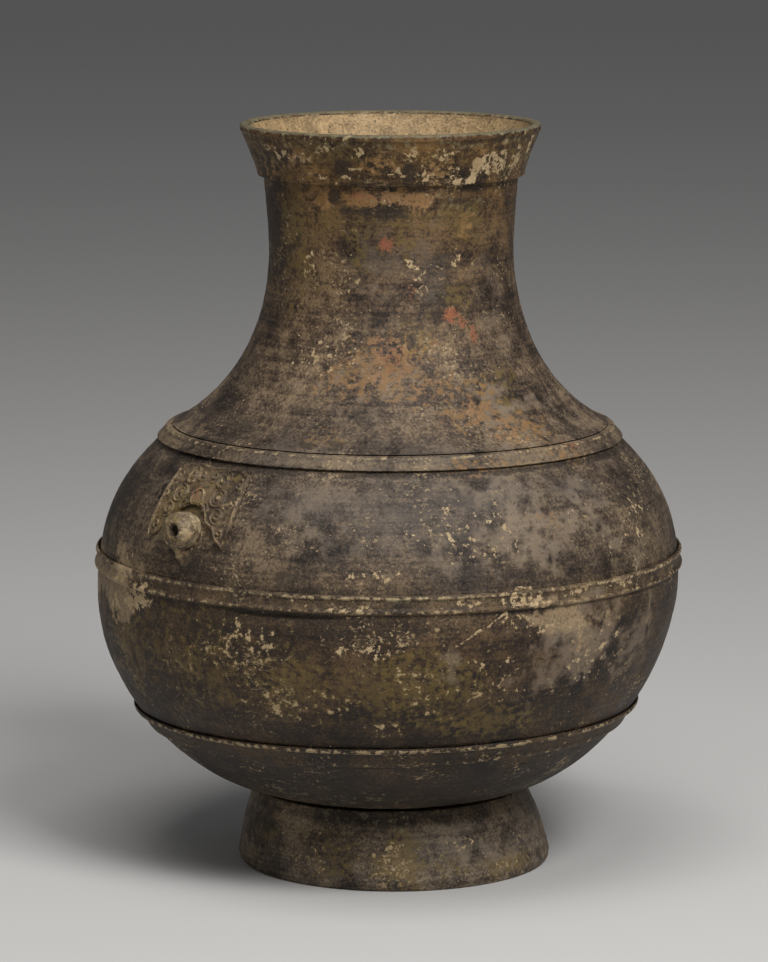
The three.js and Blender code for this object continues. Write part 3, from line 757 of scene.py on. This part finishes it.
# Curls of the mask: across and down from the top centre in millimetres, radius, pitch, way it winds
CURLS = [
    (13.5, 7.5, 5.6, 2.9, 1), (19.8, 25.5, 4.8, 2.6, -1), (26.5, 9, 3.6, 2.4, -1), (5.2, 6.5, 3.4, 2.3, 1),
    (24.6, 34.5, 3.0, 2.2, 1), (8.8, 22.5, 3.2, 2.2, -1), (27.5, 18.5, 2.8, 2.2, 1),
]
EYE, EYE_RADIUS = (15.6, 16.6), 5.0
BROW_JEWEL, JEWEL_RADIUS = (0, 17.6), 4.4


def mask_relief(across, down, rim):
    """Height of the mask over its plate: rim, eyes, brow jewel and curls, mirrored about the nose."""
    side = np.abs(across)
    height = 0.75 * np.exp(-(rim / 0.9) ** 2)
    for x, y, radius, pitch, way in CURLS:
        reach = np.hypot(side - x, down - y)
        turn = np.arctan2(down - y, side - x) / math.tau * way
        coil = 0.5 + 0.5 * np.cos(math.tau * (reach / pitch - turn))
        height = np.maximum(height, 0.85 * coil ** 2.5 * np.clip((radius - reach) / 0.8, 0, 1))
    reach = np.hypot(side - EYE[0], (down - EYE[1]) * 1.15)
    lid = np.exp(-((reach - EYE_RADIUS) / 0.7) ** 2)
    socket = lid + 0.8 * np.exp(-((reach - EYE_RADIUS * 0.62) / 0.55) ** 2)
    pupil = 1.1 * np.exp(-(reach / 1.7) ** 2)
    height = np.where(reach < EYE_RADIUS + 1, np.maximum(0.75 * socket, pupil), height)
    reach = np.hypot(across - BROW_JEWEL[0], down - BROW_JEWEL[1])
    stripes = 0.5 + 0.5 * np.cos(across * math.tau / 1.9)
    setting = np.exp(-((reach - JEWEL_RADIUS) / 0.6) ** 2)
    jewel = np.maximum(setting, 0.6 * stripes * (reach < JEWEL_RADIUS - 0.9))
    height = np.where(reach < JEWEL_RADIUS + 1, 0.85 * jewel, height)
    return np.minimum(height, 1.0)


def animal_mask(node, azimuth):
    """A pressed clay plate on the wall, with a fine grid front, a plain back and a closed rim."""
    notch = BOSS_RADIUS + BOSS_PROUD * math.sin(math.radians(BOSS_TILT)) + 2 * JOIN_GAP
    across = np.linspace(-MASK_HALF_WIDTH, MASK_HALF_WIDTH, MASK_COLUMNS + 1)[:, None]
    share = np.abs(across) / MASK_HALF_WIDTH
    top = np.interp(share, *HORN)
    jaw = np.interp(share, *JAW)
    arch = MASK_TOP - BOSS_HEIGHT - np.sqrt(np.clip(notch ** 2 - across ** 2, 0, None))
    bottom = np.where(np.abs(across) < notch, np.minimum(jaw, arch), jaw)
    up = np.linspace(0, 1, MASK_ROWS + 1)[None, :]
    down = bottom + (top - bottom) * up
    across = np.broadcast_to(across, down.shape)
    rim = np.minimum(np.minimum(down - top, bottom - down), MASK_HALF_WIDTH - np.abs(across))
    relief = mask_relief(across, down, rim - RIM_IN)
    stand = PLATE * (0.55 + 0.45 * np.clip(rim / 1.2, 0, 1)) + RAISED * relief
    height = (MASK_TOP - down).ravel()
    wall_radius = on_outline(BODY, (MASK_TOP + BOSS_HEIGHT) / 2)[0, 0]
    angle = np.radians(azimuth - 90) + across.ravel() / wall_radius
    sheets = []
    for proud in (np.full(len(height), BACK_GAP), BACK_GAP + stand.ravel()):
        slope = np.interp(height, BODY[:, 1], np.gradient(BODY[:, 0], BODY[:, 1]))
        length = np.sqrt(1 + slope ** 2)
        radius = np.interp(height, BODY[:, 1], BODY[:, 0]) + proud / length
        sheet = [radius * np.cos(angle), radius * np.sin(angle), height - proud * slope / length]
        sheets.append(np.stack(sheet, axis=1))
    points = np.concatenate(sheets)
    number = np.arange(len(height)).reshape(MASK_COLUMNS + 1, MASK_ROWS + 1)
    back = np.stack([number[:-1, :-1], number[:-1, 1:], number[1:, 1:], number[1:, :-1]], -1).reshape(-1, 4)
    front = back[:, ::-1] + number.size
    edge = np.concatenate([number[:, 0], number[-1, 1:], number[-2::-1, -1], number[0, -2:0:-1]])
    following = np.roll(edge, -1)
    wall = np.stack([edge, following, following + number.size, edge + number.size], -1)
    mesh = bpy.data.meshes.new(node + "_clay")
    mesh.from_pydata((points * MM).tolist(), [], np.concatenate([back, front, wall]).tolist())
    mesh.materials.append(MASK_CLAY)
    piece = bpy.data.objects.new(node + "_clay", mesh)
    bpy.context.collection.objects.link(piece)
    # Raised lines are worn pale, and painted shade darkens the grooves between them
    raised = np.concatenate([np.zeros(number.size), relief.ravel()])
    finish_piece(piece, node, "mask_clay", points, ridge=raised * 0.56, grooves=0.46 * (1 - raised) ** 2)


# In millimetres: radius of the hole, its floor, and how far the knob is sunk into the wall
BOSS_HOLE, BOSS_HOLE_FLOOR, BOSS_SUNK, BOSS_SIDES = 3.2, 3.5, -3.0, 96


def nose_boss(node, azimuth):
    """A hand-rolled knob of bare clay with a funnelled hole, pressed onto the wall."""
    hole = BOSS_HOLE
    outline = densify([
        (BOSS_RADIUS - 0.6, BOSS_SUNK), (BOSS_RADIUS, 2.6), (BOSS_RADIUS, 7.2), (BOSS_RADIUS - 1.6, 10.7),
        (BOSS_RADIUS - 4.4, 12.8), (hole + 1.3, BOSS_PROUD), (hole, 11.4), (hole - 0.2, 4.1), (0.6, 3.6),
    ], 1.0)
    # The last 12 points run straight back through the knob and are left out
    rounded = soften(outline[:-12])[1:-1]
    profile = np.concatenate([[(0, BOSS_SUNK)], rounded, [(0, BOSS_HOLE_FLOOR)]])
    piece = throw(node + "_clay", profile, BOSS_CLAY, BOSS_SIDES)
    mesh = piece.data
    local = positions(mesh)
    crater = np.exp(-(np.hypot(local[:, 0], local[:, 1]) / (hole + 2.5)) ** 4) * (local[:, 2] > 0)
    local[:, 0] += 2.4 * crater
    lumps = 1.3 * noise(local, 6, 11) + 0.6 * noise(local, 2.2, 12)
    outer = np.clip((np.hypot(local[:, 0], local[:, 1]) - hole - 1) / 3, 0, 1)
    local = local - normals(mesh) * ((0.8 + lumps) * 0.6 * outer)[:, None]
    tilt = math.radians(BOSS_TILT)
    turn = math.radians(azimuth - 90)
    out = local[:, 2] * math.cos(tilt) - local[:, 1] * math.sin(tilt)
    up = local[:, 2] * math.sin(tilt) + local[:, 1] * math.cos(tilt)
    radius = on_outline(BODY, BOSS_HEIGHT)[0, 0] + out
    side = local[:, 0]
    points = np.stack([radius * math.cos(turn) - side * math.sin(turn),
                       radius * math.sin(turn) + side * math.cos(turn), BOSS_HEIGHT + up], axis=1)
    set_positions(mesh, points)
    # Painted shade: a dark ring round the mouth of the funnelled hole, and patchy shade over the knob's sides
    # and deep in the hole
    funnel = 0.75 * np.exp(-((np.hypot(local[:, 0] - 2.2, local[:, 1]) - hole) / 2.0) ** 2)
    finish_piece(piece, node, "boss_clay", points, grooves=np.where(local[:, 2] > 8, funnel, 0.35))


for side_name, mask_turn in (("front_left", 0), ("back_right", 180)):
    animal_mask("mask_" + side_name, MASK_AZIMUTH + mask_turn)
    nose_boss("nose_boss_" + side_name, MASK_AZIMUTH + mask_turn)


# Floor, light and camera

def studio():
    """A plain floor, a soft room and three softboxes, the strongest high at the front right."""
    bpy.ops.mesh.primitive_plane_add(size=60)
    floor = bpy.context.object
    floor.name = "floor"
    # Matt paper: an even pale ground with soft shadows and no gloss
    paper = bpy.data.materials.new("pale_paper")
    paper.use_nodes = True
    paper.node_tree.nodes["Principled BSDF"].inputs["Base Color"].default_value = linear("#cfcdca")
    paper.node_tree.nodes["Principled BSDF"].inputs["Roughness"].default_value = 0.9
    floor.data.materials.append(paper)
    world = bpy.data.worlds.new("soft_room")
    world.use_nodes = True
    world.node_tree.nodes["Background"].inputs["Color"].default_value = linear("#f4f6fa")
    world.node_tree.nodes["Background"].inputs["Strength"].default_value = 0.13
    bpy.context.scene.world = world
    # Place, aim and size in metres, power in watts
    for name, place, aim, size, power in (
        ("key_softbox", (1.1, -1.9, 2.3), (0, 0, 0.25), 1.1, 66),
        ("top_softbox", (-0.2, -0.9, 2.6), (0, 0, 0.2), 1.4, 26),
        ("left_fill", (-2.2, -2.6, 1.0), (0, 0, 0.2), 1.4, 3),
    ):
        lamp = bpy.data.lights.new(name, "AREA")
        lamp.size = size
        lamp.energy = power
        light = bpy.data.objects.new(name, lamp)
        bpy.context.collection.objects.link(light)
        light.location = place
        direction = Vector(aim) - Vector(place)
        light.rotation_euler = direction.to_track_quat("-Z", "Y").to_euler()


def photograph_camera():
    """The photograph's view, fitted to the ellipses of the lip, bands and foot."""
    camera = bpy.data.cameras.new("camera")
    camera.sensor_fit = "VERTICAL"
    camera.sensor_height = 36
    camera.lens = 173.75
    camera.clip_end = 100
    viewer = bpy.data.objects.new("camera", camera)
    bpy.context.collection.objects.link(viewer)
    viewer.location = (-0.0028, -2.779, 0.6894)
    viewer.rotation_euler = (math.radians(90 - 9.341), 0, 0)
    bpy.context.scene.camera = viewer


studio()
photograph_camera()
bpy.context.scene.view_settings.view_transform = "Standard"
